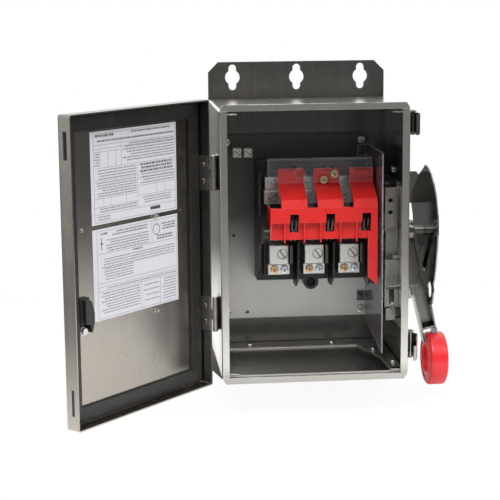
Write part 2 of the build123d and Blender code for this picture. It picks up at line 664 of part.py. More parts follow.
def mech_frame():
    w = BOX_W / 2 - SHEET
    # side flange on the wall
    side = prism_x([(-103.5, 60), (-34, 60), (-30, 56), (-30, -92), (-34, -96), (-103.5, -96)], w - 2.0, w)
    side = side - rod_x(w - 3, w + 1, AXIS_Y, AXIS_Z, 9.04)
    front_up = box(88, w, MECH_Y, MECH_Y + 1.8, 8, 54)
    step = prism_x([(MECH_Y + 1.8, 8), (MECH_Y, 8), (MECH_Y + 8, 2), (MECH_Y + 9.8, 2)], 88, w)
    front_mid = box(90.5, w, MECH_Y + 8, MECH_Y + 9.8, -32, 2)
    frame = join([side, front_up, step, front_mid])
    frame = frame - [rod_y(MECH_Y - 1, MECH_Y + 3, 94.2, z, 2.7) for z in (39.0, 25.3)]
    for y, z in MECH_SCREWS:
        frame = frame - rod_x(w - 3, w + 1, y, z, 2.03)
    return frame - rod_x(w - 3, w + 1, HOOK_Y, HOOK_Z, 2.03)


MECH_SCREWS = [(-44, 50), (-44, -50), (-62, -86)]


def mech_screws():
    w = BOX_W / 2 - SHEET
    out = []
    for y, z in MECH_SCREWS:
        head = rod_x(w - 4.6, w - 2.0, y, z, 4.0)
        head = fillet(head.edges().filter_by(GeomType.CIRCLE).sort_by(Axis.X)[0], 1.0)
        out.append(head + rod_x(w - 2.0, w, y, z, 2.0))
    # one more, high on the wall by itself
    head = rod_x(w - 3.2, w, -74, 70, 4.4)
    out.append(fillet(head.edges().filter_by(GeomType.CIRCLE).sort_by(Axis.X)[0], 1.4))
    return join(out)


def interlock_plate():
    w = BOX_W / 2 - SHEET
    y0 = MECH_Y - 5
    face = box(87.5, w, y0, y0 + 1.8, -84, -29) - box(92.5, 98.5, y0 - 1, y0 + 3, -81, -58)
    tail = box(w - 1.8, w, y0 + 1.8, -104.0, -84, -29)
    plate = face + tail
    return plate


def interlock_hook():
    # pivots beside the frame; its nose lifts as the handle goes up
    x0, x1 = 96.6, 99.0
    pts = [(-95.5, -81), (-95.5, -88), (-101, -90.5), (-113, -99), (-146, -99), (-146, -90.5),
           (-140.5, -90.5), (-140.5, -94.5), (-114, -94.5), (-106, -86.5), (-101, -80)]
    hook = prism_x(pts, x0, x1) - rod_x(x0 - 1, x1 + 1, HOOK_Y, HOOK_Z, 2.06)
    tab = box(88.5, x1, -113.2, -111.6, -98.6, -85.0)
    return hook + tab


def hook_pin():
    w = BOX_W / 2 - SHEET
    return rod_x(95.0, w, HOOK_Y, HOOK_Z, 2.0) + rod_x(94.0, 95.0, HOOK_Y, HOOK_Z, 3.2)


def spring_wires():
    # two flat return strips that cross in front of the frame
    w = BOX_W / 2 - SHEET
    a = prism_y([(w - 1.0, 52), (w, 52), (w, 50), (w - 5.2, -24), (w - 6.2, -24)], MECH_Y - 1.6, MECH_Y - 0.8)
    b = prism_y([(w - 6.4, 50), (w - 5.4, 50), (w, -22), (w, -24), (w - 1.0, -24)], MECH_Y - 2.8, MECH_Y - 2.0)
    clip_a = box(w - 3.0, w, MECH_Y - 3.2, MECH_Y, 52, 56)
    clip_b = box(w - 6.6, w, MECH_Y - 3.2, MECH_Y - 0.4, -28, -24)
    return join([a, b, clip_a, clip_b])


def toggle_spring():
    helix = Helix(pitch=2.9, height=43.5, radius=4.6, center=(95.5, -62.0, -26.0))
    start = helix @ 0
    section = Plane(origin=start, z_dir=helix % 0) * Circle(0.75)
    return sweep(section, path=helix, is_frenet=True)


def defeat_rod():
    rod = rod_x(86.0, 120.0, DEFEAT_Y, DEFEAT_Z, 2.5)
    head = rod_x(119.0, 122.0, DEFEAT_Y, DEFEAT_Z, 3.6)
    head = fillet(head.edges().filter_by(GeomType.CIRCLE).sort_by(Axis.X)[-1], 0.7)
    collar = rod_x(98.0, 99.5, DEFEAT_Y, DEFEAT_Z, 4.0)
    slot = box(121.2, 123, DEFEAT_Y - 3, DEFEAT_Y + 3, DEFEAT_Z - 0.5, DEFEAT_Z + 0.5)
    return rod + head + collar - slot


# ---------------------------------------------------------------- handle

def shaft_bushing():
    w = BOX_W / 2
    flange = rod_x(w, w + 2.2, AXIS_Y, AXIS_Z, 17.0)
    flange = fillet(flange.edges().filter_by(GeomType.CIRCLE).sort_by(Axis.X)[-1], 0.8)
    barrel = rod_x(w - SHEET, w, AXIS_Y, AXIS_Z, 10.0)
    inner = rod_x(w - 3.5, w - SHEET, AXIS_Y, AXIS_Z, 9.0)
    return flange + barrel + inner - rod_x(w - 9, w + 5, AXIS_Y, AXIS_Z, SHAFT_R + 0.06)


GUARD_Z = (-104.0, 58.5)
GUARD_SCREWS = [(-12.0, 44.0), (-12.0, -26.0), (-12.0, -92.0)]


def handle_shroud():
    # flat guard behind the handle plate, bent forward along the side wall
    w, (z0, z1) = BOX_W / 2, GUARD_Z
    pts = [(w, z0), (158.0, z0 + 8), (158.0, z1 - 16), (146.0, z1), (w, z1)]
    web = prism_y(pts, -1.2, 0) - box(w + 7, 152.0, -3, 1, -8.0, 20.0)
    foot = box(w, w + 1.4, -22.0, 0, z0, z1)
    return web + foot - [rod_x(w - 1, w + 3, y, z, 2.05) for y, z in GUARD_SCREWS]


def shroud_screws():
    w = BOX_W / 2
    out = []
    for y, z in GUARD_SCREWS:
        head = rod_x(w + 1.4, w + 3.8, y, z, 4.0)
        head = fillet(head.edges().filter_by(GeomType.CIRCLE).sort_by(Axis.X)[-1], 1.0)
        out.append(head + rod_x(w, w + 1.4, y, z, 2.0))
    return join(out)


def handle_shaft():
    shaft = rod_x(91.0, DISC_X, AXIS_Y, AXIS_Z, SHAFT_R)
    return chamfer(shaft.edges().filter_by(GeomType.CIRCLE).sort_by(Axis.X)[0], 0.8)


def drive_crank():
    x0, x1 = 92.6, 95.0
    arm = polar_prism([(-120, 9.5), (-98, 14.2), (-82, 14.2), (-60, 9.5), (0, 9.5), (60, 9.5), (120, 9.5),
                       (180, 9.5)], x0, x1)
    return arm - rod_x(x0 - 1, x1 + 1, AXIS_Y, AXIS_Z, SHAFT_R + 0.03)


def arm_frame(shape):
    # the arm is drawn straight down along -Z with its middle at the shaft, then leaned outward
    return Pos(117.0, AXIS_Y, AXIS_Z) * Rot(0, -ARM_LEAN, 0) * shape


def handle_arm():
    d, t, w = ARM_DEEP / 2, ARM_T, ARM_W / 2
    channel = box(-w, w, -d, d, -ARM_END, 9.0) - box(-w + t, w - t, -d - 1, d - t, -ARM_END - 1, 10.0)
    # the left wall runs on beside the grip
    channel = channel + box(-w, -w + t, -d, d, -ARM_TAIL, -ARM_END + 1)
    taper = prism_x([(-d - 1, -ARM_END + 30), (-d - 1, -ARM_TAIL - 1), (-d + 7, -ARM_TAIL - 1)], -w - 1, w + 1)
    web = box(-w + t, w - t, -d + 6, d - t, -ARM_END, -ARM_END + 2.5)
    lever = arm_frame(channel - taper + web)
    # hub block that carries the shaft
    lever = lever + rod_x(110.0, 124.5, AXIS_Y, AXIS_Z, 12.0)
    lever = lever - box(95, 109.0, AXIS_Y - 40, AXIS_Y + 40, -40, 40)
    return lever + box(*STEM, -133.0, -116.5) - rod_x(90, 140, AXIS_Y, AXIS_Z, SHAFT_R + 0.03)


STEM = (149.3, 155.3, AXIS_Y - 5.0, AXIS_Y + 5.0)    # tongue that holds the grip

# outline of the handle plate: angle from the front towards the top, and radius
PLATE_OUTLINE = [(85, 77.6), (75, 78.4), (64, 78.6), (51, 78.6), (37, 78.4), (22, 77.2), (13, 75.6), (5, 74.2),
                 (-9, 72.6), (-18, 72.4), (-28, 74), (-38, 76), (-50, 77), (-70, 78), (-85, 77), (-97, 71),
                 (-116, 67.4), (-137, 66.5), (-152, 66), (-166, 60), (180, 58), (172, 59.2), (163, 71.6),
                 (152, 74.6), (137, 67.2), (116, 67.6), (97, 70.4)]


def handle_disc():
    x0, x1 = DISC_X, DISC_X + DISC_T
    plate = polar_prism([(180 - angle, radius) for angle, radius in PLATE_OUTLINE], x0, x1)
    ear_y, ear_z = EAR_HOLE
    plate = plate + rod_x(x0, x1, ear_y, ear_z, 18.0) - rod_x(x0 - 4, x1 + 1, ear_y, ear_z, 9.4)
    # window the arm leans out through
    plate = plate - box(x0 - 5, x1 + 2, AXIS_Y - ARM_DEEP / 2 - 0.6, AXIS_Y + ARM_DEEP / 2 + 0.6, -90, -44)
    return plate - rod_x(x0 - 1, x1 + 1, AXIS_Y, AXIS_Z, 4.03)


EAR_HOLE = (-117.0, -63.0)


def disc_bolt():
    # centre screw that holds the plate to the shaft end
    x = DISC_X + DISC_T
    head = Pos(x, AXIS_Y, AXIS_Z) * Rot(0, 90, 0) * extrude(RegularPolygon(8.6, 6), amount=5.0)
    washer = rod_x(x, x + 1.5, AXIS_Y, AXIS_Z, 11.0)
    return head + washer + rod_x(DISC_X, x, AXIS_Y, AXIS_Z, 4.0)


def grip_ring():
    t, r = RING_T / 2, RING_R
    wheel = Rot(0, 90, 0) * Cylinder(r, RING_T)
    wheel = fillet(wheel.edges().filter_by(GeomType.CIRCLE), 4.0)
    bore = Rot(0, 90, 0) * Cylinder(RING_BORE, RING_T + 2)
    wheel = wheel - bore
    wheel = fillet([e for e in wheel.edges().filter_by(GeomType.CIRCLE) if abs(e.radius - RING_BORE) < 0.1], 1.5)
    for s in (-1, 1):
        groove = Rot(0, 90, 0) * (Cylinder(r - 6.4, 2.4) - Cylinder(RING_BORE + 3.2, 3))
        wheel = wheel - Pos(s * t, 0, 0) * groove
    return Pos(RING_X, AXIS_Y, RING_Z) * wheel - box(*STEM, -133.0, -110.0)


PARTS = {
    "back_panel": back_panel,
    "box_wrap": box_wrap,
    "corner_gussets": corner_gussets,
    "floor_plate": floor_plate,
    "floor_screws": floor_screws,
    "door_pan": door_pan,
    "door_gasket": door_gasket,
    "door_label_upper": lambda: door_label(43.5, 138.5),
    "door_label_lower": lambda: door_label(-56.5, 38.8),
    "door_studs": door_studs,
    "interlock_catch": interlock_catch,
    "catch_bolt": catch_bolt,
    "door_hinge_leaves": lambda: join([door_leaf(z) for z in HINGE_Z]),
    "door_leaf_rivets": door_leaf_rivets,
    "box_hinge_leaves": lambda: join([box_leaf(z) for z in HINGE_Z]),
    "hinge_pins": lambda: join([hinge_pin(z) for z in HINGE_Z]),
    "latch_brackets": lambda: join([latch_bracket(name) for name in LATCHES]),
    "latch_lever_upper": lambda: latch_lever("upper"),
    "latch_lever_lower": lambda: latch_lever("lower"),
    "latch_pins": latch_pins,
    "mounting_plate": mounting_plate,
    "plate_screws": plate_screws,
    "ground_lugs": ground_lugs,
    "ground_screws": ground_screws,
    "switch_base": switch_base,
    "base_screws": base_screws,
    "line_lugs": line_lugs,
    "line_lug_screws": line_lug_screws,
    "load_lugs": load_lugs,
    "load_lug_screws": load_lug_screws,
    "load_tabs": load_tabs,
    "tab_screws_copper": lambda: tab_screws(-4.8),
    "tab_screws_zinc": lambda: tab_screws(7.2),
    "line_contacts": lambda: contacts(18, 44, BASE_Y),
    "load_contacts": lambda: contacts(-40, -13, BASE_Y - 10),
    "rotor_bar": rotor_bar,
    "rotor_blades": rotor_blades,
    "rotor_crank": rotor_crank,
    "red_cover": red_cover,
    "line_shield": line_shield,
    "line_shield_screws": shield_screws,
    "side_shield": side_shield,
    "side_shield_screws": side_shield_screws,
    "mech_frame": mech_frame,
    "mech_screws": mech_screws,
    "interlock_plate": interlock_plate,
    "interlock_hook": interlock_hook,
    "hook_pin": hook_pin,
    "spring_wires": spring_wires,
    "toggle_spring": toggle_spring,
    "defeat_rod": defeat_rod,
    "shaft_bushing": shaft_bushing,
    "handle_shroud": handle_shroud,
    "shroud_screws": shroud_screws,
    "handle_shaft": handle_shaft,
    "drive_crank": drive_crank,
    "handle_arm": handle_arm,
    "handle_disc": handle_disc,
    "disc_bolt": disc_bolt,
    "grip_ring": grip_ring,
}

os.makedirs("parts", exist_ok=True)
for name, make in PARTS.items():
    export_step(make(), "parts/" + name + ".step")
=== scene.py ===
import math
import random

import bmesh
import bpy
from mathutils import Matrix, Vector


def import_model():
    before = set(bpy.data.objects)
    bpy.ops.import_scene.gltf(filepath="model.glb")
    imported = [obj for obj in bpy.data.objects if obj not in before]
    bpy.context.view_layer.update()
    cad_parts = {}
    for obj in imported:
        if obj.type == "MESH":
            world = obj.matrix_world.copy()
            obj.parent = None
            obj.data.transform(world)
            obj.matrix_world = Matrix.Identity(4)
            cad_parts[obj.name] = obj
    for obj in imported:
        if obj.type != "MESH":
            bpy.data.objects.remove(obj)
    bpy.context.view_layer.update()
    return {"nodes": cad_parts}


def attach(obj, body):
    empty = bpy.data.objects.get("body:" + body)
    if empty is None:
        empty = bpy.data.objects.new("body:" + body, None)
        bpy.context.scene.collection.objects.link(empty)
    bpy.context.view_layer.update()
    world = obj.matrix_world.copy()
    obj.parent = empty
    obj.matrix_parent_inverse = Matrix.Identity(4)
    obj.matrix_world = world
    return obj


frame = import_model()
NODES = frame["nodes"]

# ------------------------------------------------------------------ door, open at rest
HINGE = Vector((-0.1105, -0.1435, 0.0))
OPEN = math.radians(-132.0)
LABEL_FACE = -163.25     # mm, face of the labels on the closed door
INK_GAP = 0.03           # mm, print behind that face and its thickness
RING_SIDES = 24
DOOR = Matrix.Translation(HINGE) @ Matrix.Rotation(OPEN, 4, "Z") @ Matrix.Translation(-HINGE)


# ------------------------------------------------------------------ node helpers
class Graph:
    """A material's node tree with short calls for the nodes used here."""

    def __init__(self, name):
        self.mat = bpy.data.materials.new(name)
        self.mat.use_nodes = True
        self.tree = self.mat.node_tree
        self.tree.nodes.clear()
        self.out = self.tree.nodes.new("ShaderNodeOutputMaterial")
        self.bsdf = self.tree.nodes.new("ShaderNodeBsdfPrincipled")
        self.link(self.bsdf.outputs[0], self.out.inputs[0])
        self.object = None

    def link(self, a, b):
        self.tree.links.new(a, b)

    def set(self, **values):
        for key, value in values.items():
            socket = self.bsdf.inputs[key.replace("_", " ")]
            if hasattr(value, "is_output"):
                self.link(value, socket)
            else:
                socket.default_value = value

    def coords(self, scale=(1, 1, 1), turn=(0, 0, 0), shift=(0, 0, 0)):
        if self.object is None:
            self.object = self.tree.nodes.new("ShaderNodeTexCoord").outputs["Object"]
        node = self.tree.nodes.new("ShaderNodeMapping")
        node.inputs["Location"].default_value = shift
        node.inputs["Rotation"].default_value = turn
        node.inputs["Scale"].default_value = scale
        self.link(self.object, node.inputs["Vector"])
        return node.outputs[0]

    def noise(self, vector, scale, detail=3.0, rough=0.5, warp=0.0):
        node = self.tree.nodes.new("ShaderNodeTexNoise")
        node.inputs["Scale"].default_value = scale
        node.inputs["Detail"].default_value = detail
        node.inputs["Roughness"].default_value = rough
        node.inputs["Distortion"].default_value = warp
        self.link(vector, node.inputs["Vector"])
        return node.outputs["Fac"]

    def voronoi(self, vector, scale, feature="F1"):
        node = self.tree.nodes.new("ShaderNodeTexVoronoi")
        node.feature = feature
        node.inputs["Scale"].default_value = scale
        self.link(vector, node.inputs["Vector"])
        return node.outputs["Distance"]

    def ramp(self, fac, stops):
        node = self.tree.nodes.new("ShaderNodeValToRGB")
        while len(node.color_ramp.elements) < len(stops):
            node.color_ramp.elements.new(0.5)
        for element, (place, colour) in zip(node.color_ramp.elements, stops):
            element.position = place
            if not hasattr(colour, "__len__"):
                colour = (colour, colour, colour)
            element.color = (*colour, 1.0)
        self.link(fac, node.inputs[0])
        return node.outputs[0]

    def mix(self, a, b, fac, mode="MIX"):
        node = self.tree.nodes.new("ShaderNodeMix")
        node.data_type = "RGBA"
        node.blend_type = mode
        for value, socket in ((fac, node.inputs[0]), (a, node.inputs[6]), (b, node.inputs[7])):
            if hasattr(value, "is_output"):
                self.link(value, socket)
            elif hasattr(value, "__len__"):
                socket.default_value = (*value, 1.0)
            else:
                socket.default_value = value
        return node.outputs[2]

    def math(self, kind, a, b=0.0, c=0.0):
        node = self.tree.nodes.new("ShaderNodeMath")
        node.operation = kind
        for i, value in enumerate((a, b, c)):
            if hasattr(value, "is_output"):
                self.link(value, node.inputs[i])
            else:
                node.inputs[i].default_value = value
        return node.outputs[0]

    def bevel(self, radius):
        node = self.tree.nodes.new("ShaderNodeBevel")
        node.samples = 4
        node.inputs["Radius"].default_value = radius
        return node.outputs[0]

    def bump(self, height, strength, distance, normal=None):
        node = self.tree.nodes.new("ShaderNodeBump")
        node.inputs["Strength"].default_value = strength
        node.inputs["Distance"].default_value = distance
        self.link(height, node.inputs["Height"])
        if normal is not None:
            self.link(normal, node.inputs["Normal"])
        return node.outputs[0]

    def crevice_shade(self, reach):
        """Ambient occlusion, 0 deep in a slot or corner, 1 in the open; used to paint shade into colours."""
        node = self.tree.nodes.new("ShaderNodeAmbientOcclusion")
        node.samples = 6
        node.inputs["Distance"].default_value = reach
        return node.outputs["AO"]

    def separate(self, vector):
        node = self.tree.nodes.new("ShaderNodeSeparateXYZ")
        self.link(vector, node.inputs[0])
        return node.outputs


def brushed(name, base, rough=0.3, grain=(1, 1, 0.02), turn=(0, 0, 0), blotch=0.12, scratch=0.5, edge=0.0005,
            tint=(1.0, 0.97, 0.92), grime=0.15, metallic=1.0, grain_size=900.0, rough_spread=0.12, shade=None,
            relief=0.22, nook_shade=0.0):
    """Sheet metal with a directional grain, faint stains, fine scratches and softened edges, with optional
    painted shade by height and in recesses.
    """
    g = Graph(name)
    along = g.coords(grain, turn)
    plain = g.coords()
    fine = g.noise(along, grain_size, 4.0, 0.65)
    coarse = g.noise(along, grain_size * 0.17, 3.0, 0.6)
    cloud = g.noise(plain, 9.0, 4.0, 0.55, 0.6)
    stain = g.noise(plain, 38.0, 5.0, 0.62, 1.2)
    dark = tuple(c * (1.0 - blotch) for c in base)
    warm = tuple(c * t for c, t in zip(base, tint))
    colour = g.mix(dark, base, g.ramp(fine, [(0.25, 0.0), (0.75, 1.0)]))
    colour = g.mix(colour, warm, g.ramp(cloud, [(0.35, 0.0), (0.7, 1.0)]))
    stained = g.math("MULTIPLY", g.ramp(stain, [(0.58, 0.0), (0.8, 1.0)]), grime)
    colour = g.mix(colour, tuple(c * 0.72 for c in base), stained)
    # fine stray scratches in three directions
    marks = None
    for k, angle in enumerate(((0.3, 0.2, 0.5), (1.1, 0.7, -0.4), (-0.6, 1.3, 0.9))):
        streak = g.noise(g.coords((1, 0.012, 1), angle, (k * 0.37, 0, k * 0.11)), 620.0, 1.0, 0.4)
        line = g.ramp(streak, [(0.70, 0.0), (0.73, 1.0), (0.76, 0.0)])
        marks = line if marks is None else g.math("MAXIMUM", marks, line)
    where = g.ramp(g.noise(plain, 22.0, 2.0), [(0.45, 0.0), (0.62, 1.0)])
    marks = g.math("MULTIPLY", g.math("MULTIPLY", marks, where), scratch)
    colour = g.mix(colour, tuple(min(1.0, c * 1.25) for c in base), marks)
    # Painted shade: the colour is darkened in recesses and corners by ambient occlusion.
    if nook_shade:
        colour = g.mix(colour, g.ramp(g.crevice_shade(nook_shade), [(0.2, 0.12), (0.85, 1.0)]), 1.0, "MULTIPLY")
    # Painted shade: the colour is multiplied by a ramp over height, set per part to how the light falls on
    # it.
    if shade:
        stops = [((z / 1000 + 0.2) / 0.4, amount) for z, amount in shade]
        height = g.math("MULTIPLY_ADD", g.separate(plain)[2], 2.5, 0.5)
        colour = g.mix(colour, g.ramp(height, stops), 1.0, "MULTIPLY")
    level = g.math("MULTIPLY_ADD", fine, rough_spread, rough - rough_spread / 2)
    level = g.math("MULTIPLY_ADD", coarse, rough_spread, level)
    level = g.math("MULTIPLY_ADD", stain, 0.10, g.math("SUBTRACT", level, 0.08))
    height = g.math("MULTIPLY_ADD", coarse, 0.6, g.math("SUBTRACT", fine, g.math("MULTIPLY", marks, 0.8)))
    normal = g.bump(height, relief, 0.00012, g.bevel(edge))
    g.set(Base_Color=colour, Metallic=metallic, Roughness=level, Normal=normal)
    return g.mat


def cast(name, base, rough=0.35, spot=900.0, tarnish=(0.5, 0.42, 0.3), amount=0.25):
    """Plated or turned small parts: speckle, light tarnish in patches, painted shade in crevices and softened
    edges.
    """
    g = Graph(name)
    plain = g.coords()
    speck = g.noise(plain, spot, 4.0, 0.6)
    patch = g.noise(plain, 130.0, 4.0, 0.6, 1.0)
    colour = g.mix(tuple(c * 0.82 for c in base), base, g.ramp(speck, [(0.3, 0.0), (0.7, 1.0)]))
    colour = g.mix(colour, tuple(c * t for c, t in zip(base, tarnish)),
                   g.math("MULTIPLY", g.ramp(patch, [(0.5, 0.0), (0.75, 1.0)]), amount))
    # Painted shade: the colour is darkened in slots and corners by ambient occlusion.
    colour = g.mix(colour, g.ramp(g.crevice_shade(0.004), [(0.25, 0.05), (0.7, 1.0)]), 1.0, "MULTIPLY")
    level = g.math("MULTIPLY_ADD", speck, 0.16, rough - 0.08)
    level = g.math("MULTIPLY_ADD", patch, 0.2, g.math("SUBTRACT", level, 0.1))
    normal = g.bump(speck, 0.35, 0.00008, g.bevel(0.0004))
    g.set(Base_Color=colour, Metallic=1.0, Roughness=level, Normal=normal)
    return g.mat


def moulded(name, base, rough=0.35, grain=1400.0, depth=0.3, dust=0.08, edge=0.0006, coat=0.0,
            wear_and_sheen_lift=1.35, flow=0.1):
    """Moulded plastic: fine texture, flow marks, a little dust and paler edges, partly rubbed wear and partly
    painted highlight.
    """
    g = Graph(name)
    plain = g.coords()
    skin = g.noise(plain, grain, 3.0, 0.6)
    marks = g.noise(g.coords((1, 1, 0.25)), 60.0, 4.0, 0.55, 0.8)
    fleck = g.noise(plain, 420.0, 5.0, 0.7)
    colour = g.mix(tuple(c * (1 - flow) for c in base), tuple(min(1.0, c * (1 + flow)) for c in base), marks)
    dusty = tuple(min(1.0, c * 0.6 + 0.25) for c in base)
    colour = g.mix(colour, dusty, g.math("MULTIPLY", g.ramp(fleck, [(0.52, 0.0), (0.78, 1.0)]), dust))
    # Paler edges: partly rubbed wear, partly painted highlight.
    lit = g.math("SUBTRACT", 1.0, edge_mask(g, edge * 2.2))
    pale = tuple(min(1.0, c * wear_and_sheen_lift + 0.02) for c in base)
    colour = g.mix(pale, colour, lit)
    level = g.math("MULTIPLY_ADD", marks, 0.16, rough - 0.08)
    level = g.math("MULTIPLY_ADD", fleck, 0.12, g.math("SUBTRACT", level, 0.06))
    normal = g.bump(skin, depth, 0.00006, g.bevel(edge))
    g.set(Base_Color=colour, Roughness=level, Normal=normal, Coat_Weight=coat, Coat_Roughness=0.12)
    return g.mat


def edge_mask(g, radius):
    """1 on rounded-over edges, 0 on flats."""
    soft = g.bevel(radius)
    geometry = g.tree.nodes.new("ShaderNodeNewGeometry")
    dot = g.tree.nodes.new("ShaderNodeVectorMath")
    dot.operation = "DOT_PRODUCT"
    g.link(soft, dot.inputs[0])
    g.link(geometry.outputs["Normal"], dot.inputs[1])
    return g.ramp(dot.outputs["Value"], [(0.80, 0.8), (0.985, 0.0)])


def foam(name, base):
    g = Graph(name)
    plain = g.coords()
    cells = g.voronoi(plain, 1500.0)
    lumps = g.noise(plain, 160.0, 4.0, 0.6)
    colour = g.mix(tuple(c * 0.5 for c in base), tuple(c * 1.8 for c in base), lumps)
    dust = g.ramp(g.noise(plain, 55.0, 5.0, 0.7), [(0.55, 0.0), (0.8, 1.0)])
    colour = g.mix(colour, (0.09, 0.09, 0.085), g.math("MULTIPLY", dust, 0.35))
    level = g.math("MULTIPLY_ADD", lumps, 0.25, 0.24)
    normal = g.bump(g.math("ADD", cells, g.math("MULTIPLY", lumps, 0.7)), 0.5, 0.0002, g.bevel(0.0006))
    g.set(Base_Color=colour, Roughness=level, Normal=normal)
    return g.mat


def paper(name, base):
    g = Graph(name)
    plain = g.coords()
    fibre = g.noise(plain, 2600.0, 4.0, 0.6)
    cloud = g.noise(plain, 26.0, 3.0, 0.5)
    colour = g.mix(tuple(c * 0.95 for c in base), base, fibre)
    colour = g.mix(colour, tuple(c * t for c, t in zip(base, (0.96, 0.97, 1.0))), cloud)
    normal = g.bump(g.math("ADD", g.math("MULTIPLY", fibre, 0.4), cloud), 0.25, 0.0003)
    g.set(Base_Color=colour, Roughness=g.math("MULTIPLY_ADD", fibre, 0.15, 0.42), Normal=normal)
    return g.mat


def ink(name, base):
    g = Graph(name)
    speck = g.noise(g.coords(), 3200.0, 3.0, 0.7)
    faded = tuple(min(1.0, c * 1.8 + 0.05) for c in base)
    colour = g.mix(base, faded, g.ramp(speck, [(0.35, 0.0), (0.75, 1.0)]))
    g.set(Base_Color=colour, Roughness=g.math("MULTIPLY_ADD", speck, 0.2, 0.45))
    return g.mat


def clear(name, tint, rough=0.06, alpha=0.2, haze=0.12):
    """Thin clear sheet: mostly see-through, with hazy scuffs and a painted highlight on the edges."""
    g = Graph(name)
    plain = g.coords()
    scuff = g.noise(g.coords((1, 1, 0.2), (0.4, 0.3, 0.2)), 240.0, 5.0, 0.7, 0.5)
    cloud = g.noise(plain, 30.0, 3.0, 0.5)
    edges = edge_mask(g, 0.0012)
    cover = g.math("MULTIPLY_ADD", g.ramp(scuff, [(0.5, 0.0), (0.8, 1.0)]), haze, alpha)
    cover = g.math("MULTIPLY_ADD", cloud, 0.05, cover)
    # Painted highlight: the edges are made more opaque and near white.
    cover = g.math("MINIMUM", g.math("MULTIPLY_ADD", edges, 0.5, cover), 0.95)
    colour = g.mix(tint, (0.95, 0.96, 1.0), edges)
    level = g.math("MULTIPLY_ADD", scuff, 0.12, rough)
    normal = g.bump(g.math("ADD", cloud, g.math("MULTIPLY", scuff, 0.15)), 0.12, 0.0008)
    g.set(Base_Color=colour, Roughness=level, Normal=normal, Alpha=cover)
    g.bsdf.inputs["IOR"].default_value = 1.49
    g.bsdf.inputs["Specular IOR Level"].default_value = 0.75
    return g.mat


# ------------------------------------------------------------------ materials
STEEL = (0.74, 0.73, 0.70)
MATS = {
    # Painted shade: darker towards the bottom lip by height, and darker in recesses.
    "wrap": brushed("steel wrap", STEEL, 0.25, (1, 0.02, 0.02), blotch=0.04, grime=0.08, relief=0.03,
                    scratch=0.08, rough_spread=0.03,
                    shade=((-165, 0.5), (-148, 0.55), (-135, 0.8), (20, 0.95), (160, 1.0)), nook_shade=0.03),
    # Painted shade: the back panel is kept at 0.22 to 0.34 of its colour, by height.
    "back": brushed("steel back", (0.60, 0.59, 0.57), 0.20, (1, 1, 0.02), blotch=0.12, relief=0.06,
                    shade=((-160, 0.22), (-120, 0.28), (90, 0.26), (150, 0.22), (165, 0.34))),
    # Painted shade: door colour darkened below STEEL, and darker towards the top.
    "door": brushed("steel door", (0.44, 0.418, 0.385), 0.25, (1, 1, 0.015), blotch=0.05,
                    tint=(1.0, 0.95, 0.88), relief=0.04, scratch=0.25, grime=0.1, rough_spread=0.06,
                    shade=((-160, 0.9), (0, 0.85), (90, 0.65), (160, 0.5))),
    # Painted shade: hinge leaf colour darkened below STEEL.
    "leaf": brushed("steel hinge leaf", (0.42, 0.41, 0.39), 0.30, (1, 1, 0.1), blotch=0.1),
    # Painted shade: polished steel colour darkened to 0.34 for the dark it mirrors.
    "bright": brushed("steel polished", (0.34, 0.34, 0.33), 0.13, (1, 1, 0.03), blotch=0.05,
                      rough_spread=0.04, relief=0.05),
    # Painted shade: arm colour darkened to 0.22, and darker in its channel and recesses.
    "arm": brushed("steel arm", (0.22, 0.216, 0.205), 0.22, (1, 1, 0.03), blotch=0.10, relief=0.08,
                   nook_shade=0.012),
    "floor": brushed("steel floor edge", (0.78, 0.77, 0.74), 0.30, (0.02, 1, 1), blotch=0.06),
    # Painted shadow: the mounting plate goes from 0.95 at the bottom to 0.11 at the top, the shadow of the
    # box roof.
    "plate": brushed("zinc plate", (0.74, 0.73, 0.70), 0.40, (1, 1, 0.2), blotch=0.08, tint=(0.97, 0.98, 1.0),
                     relief=0.12,
                     shade=((-110, 0.95), (-70, 0.72), (10, 0.15), (110, 0.11))),
    "mech": cast("plated steel", (0.56, 0.55, 0.52), 0.34),
    "hard": cast("bright hardware", (0.68, 0.68, 0.67), 0.26, amount=0.15),
    "dull": cast("dull shaft steel", (0.17, 0.165, 0.155), 0.38),
    "lug": cast("tinned lug", (0.88, 0.87, 0.83), 0.34, spot=700.0, amount=0.25, tarnish=(0.8, 0.72, 0.55)),
    "zinc": cast("blue zinc screw", (0.78, 0.86, 0.95), 0.28, tarnish=(0.6, 0.7, 0.9)),
    "copper": cast("brass screw", (0.86, 0.56, 0.30), 0.3, tarnish=(0.6, 0.5, 0.4)),
    "rivet": cast("dull rivet", (0.30, 0.235, 0.17), 0.45),
    "oxide": cast("black screw", (0.035, 0.035, 0.036), 0.4, amount=0.1),
    # Painted shade: blades and contacts darkened to the shade of the windows they sit in.
    "blade": cast("switch blade", (0.11, 0.10, 0.085), 0.34),
    "yellow": cast("yellow passivated", (0.84, 0.74, 0.42), 0.3, tarnish=(0.9, 0.6, 0.7), amount=0.5),
    "black": moulded("black moulding", (0.017, 0.017, 0.018), 0.38, dust=0.06, wear_and_sheen_lift=3.0),
    "bar": moulded("black bar", (0.020, 0.020, 0.020), 0.36, dust=0.04, wear_and_sheen_lift=2.5),
    "red": moulded("red cover", (0.66, 0.018, 0.016), 0.30, dust=0.03, coat=0.3, flow=0.06),
    "grip": moulded("red grip", (0.68, 0.014, 0.022), 0.34, grain=900.0, depth=0.15, dust=0.02, coat=0.08,
                    flow=0.05),
    "foam": foam("gasket foam", (0.011, 0.011, 0.011)),
    "paper": paper("label stock", (0.66, 0.66, 0.69)),
    "ink": ink("label ink", (0.03, 0.03, 0.04)),
    "ink2": ink("label ink light", (0.10, 0.10, 0.12)),
    "clear": clear("clear sheet", (0.86, 0.88, 0.92), alpha=0.03, haze=0.03),
    "tint": clear("smoked sheet", (0.13, 0.11, 0.15), alpha=0.62, rough=0.05),
}
